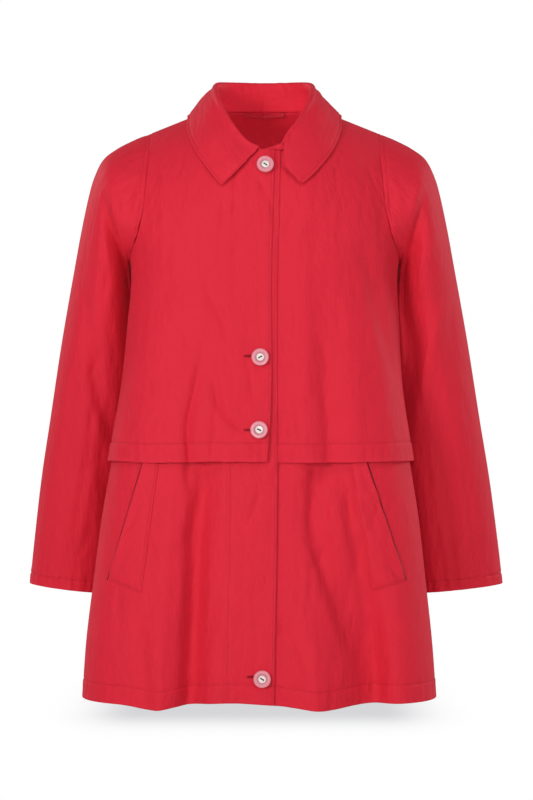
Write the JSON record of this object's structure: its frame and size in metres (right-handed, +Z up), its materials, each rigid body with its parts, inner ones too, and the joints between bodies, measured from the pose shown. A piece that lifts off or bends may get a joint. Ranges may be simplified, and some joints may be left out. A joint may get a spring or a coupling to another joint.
{
  "type": "raincoat",
  "caption": "Hollow hip-length buttoned raincoat with a turn-down collar, hanging storm flaps over its fronts, slanted pocket welts and set-in sleeves, in its worn form with no wearer.",
  "frame": {"origin": "at the base of the neck, midway between the shoulder seams, where shoulders or a hanger carry the coat", "axes": "+Z up, the coat faces -Y, +X towards the wearer's left"},
  "size_m": [0.622, 0.3355, 0.8038],
  "materials": {
    "coat_cloth": "matt close-woven red cloth with a slight sheen",
    "button_pearl": "glossy pearly pink"
  },
  "bodies": {
    "root": {"back": "coat_cloth", "front_right": "coat_cloth", "front_left": "coat_cloth", "flap_right": "coat_cloth", "flap_left": "coat_cloth", "sleeve_right": "coat_cloth", "sleeve_left": "coat_cloth", "collar": "coat_cloth", "welt_right": "coat_cloth", "welt_left": "coat_cloth", "hanger_loop": "coat_cloth", "button_1": "button_pearl", "button_2": "button_pearl", "button_3": "button_pearl", "button_4": "button_pearl"}
  },
  "joints": []
}
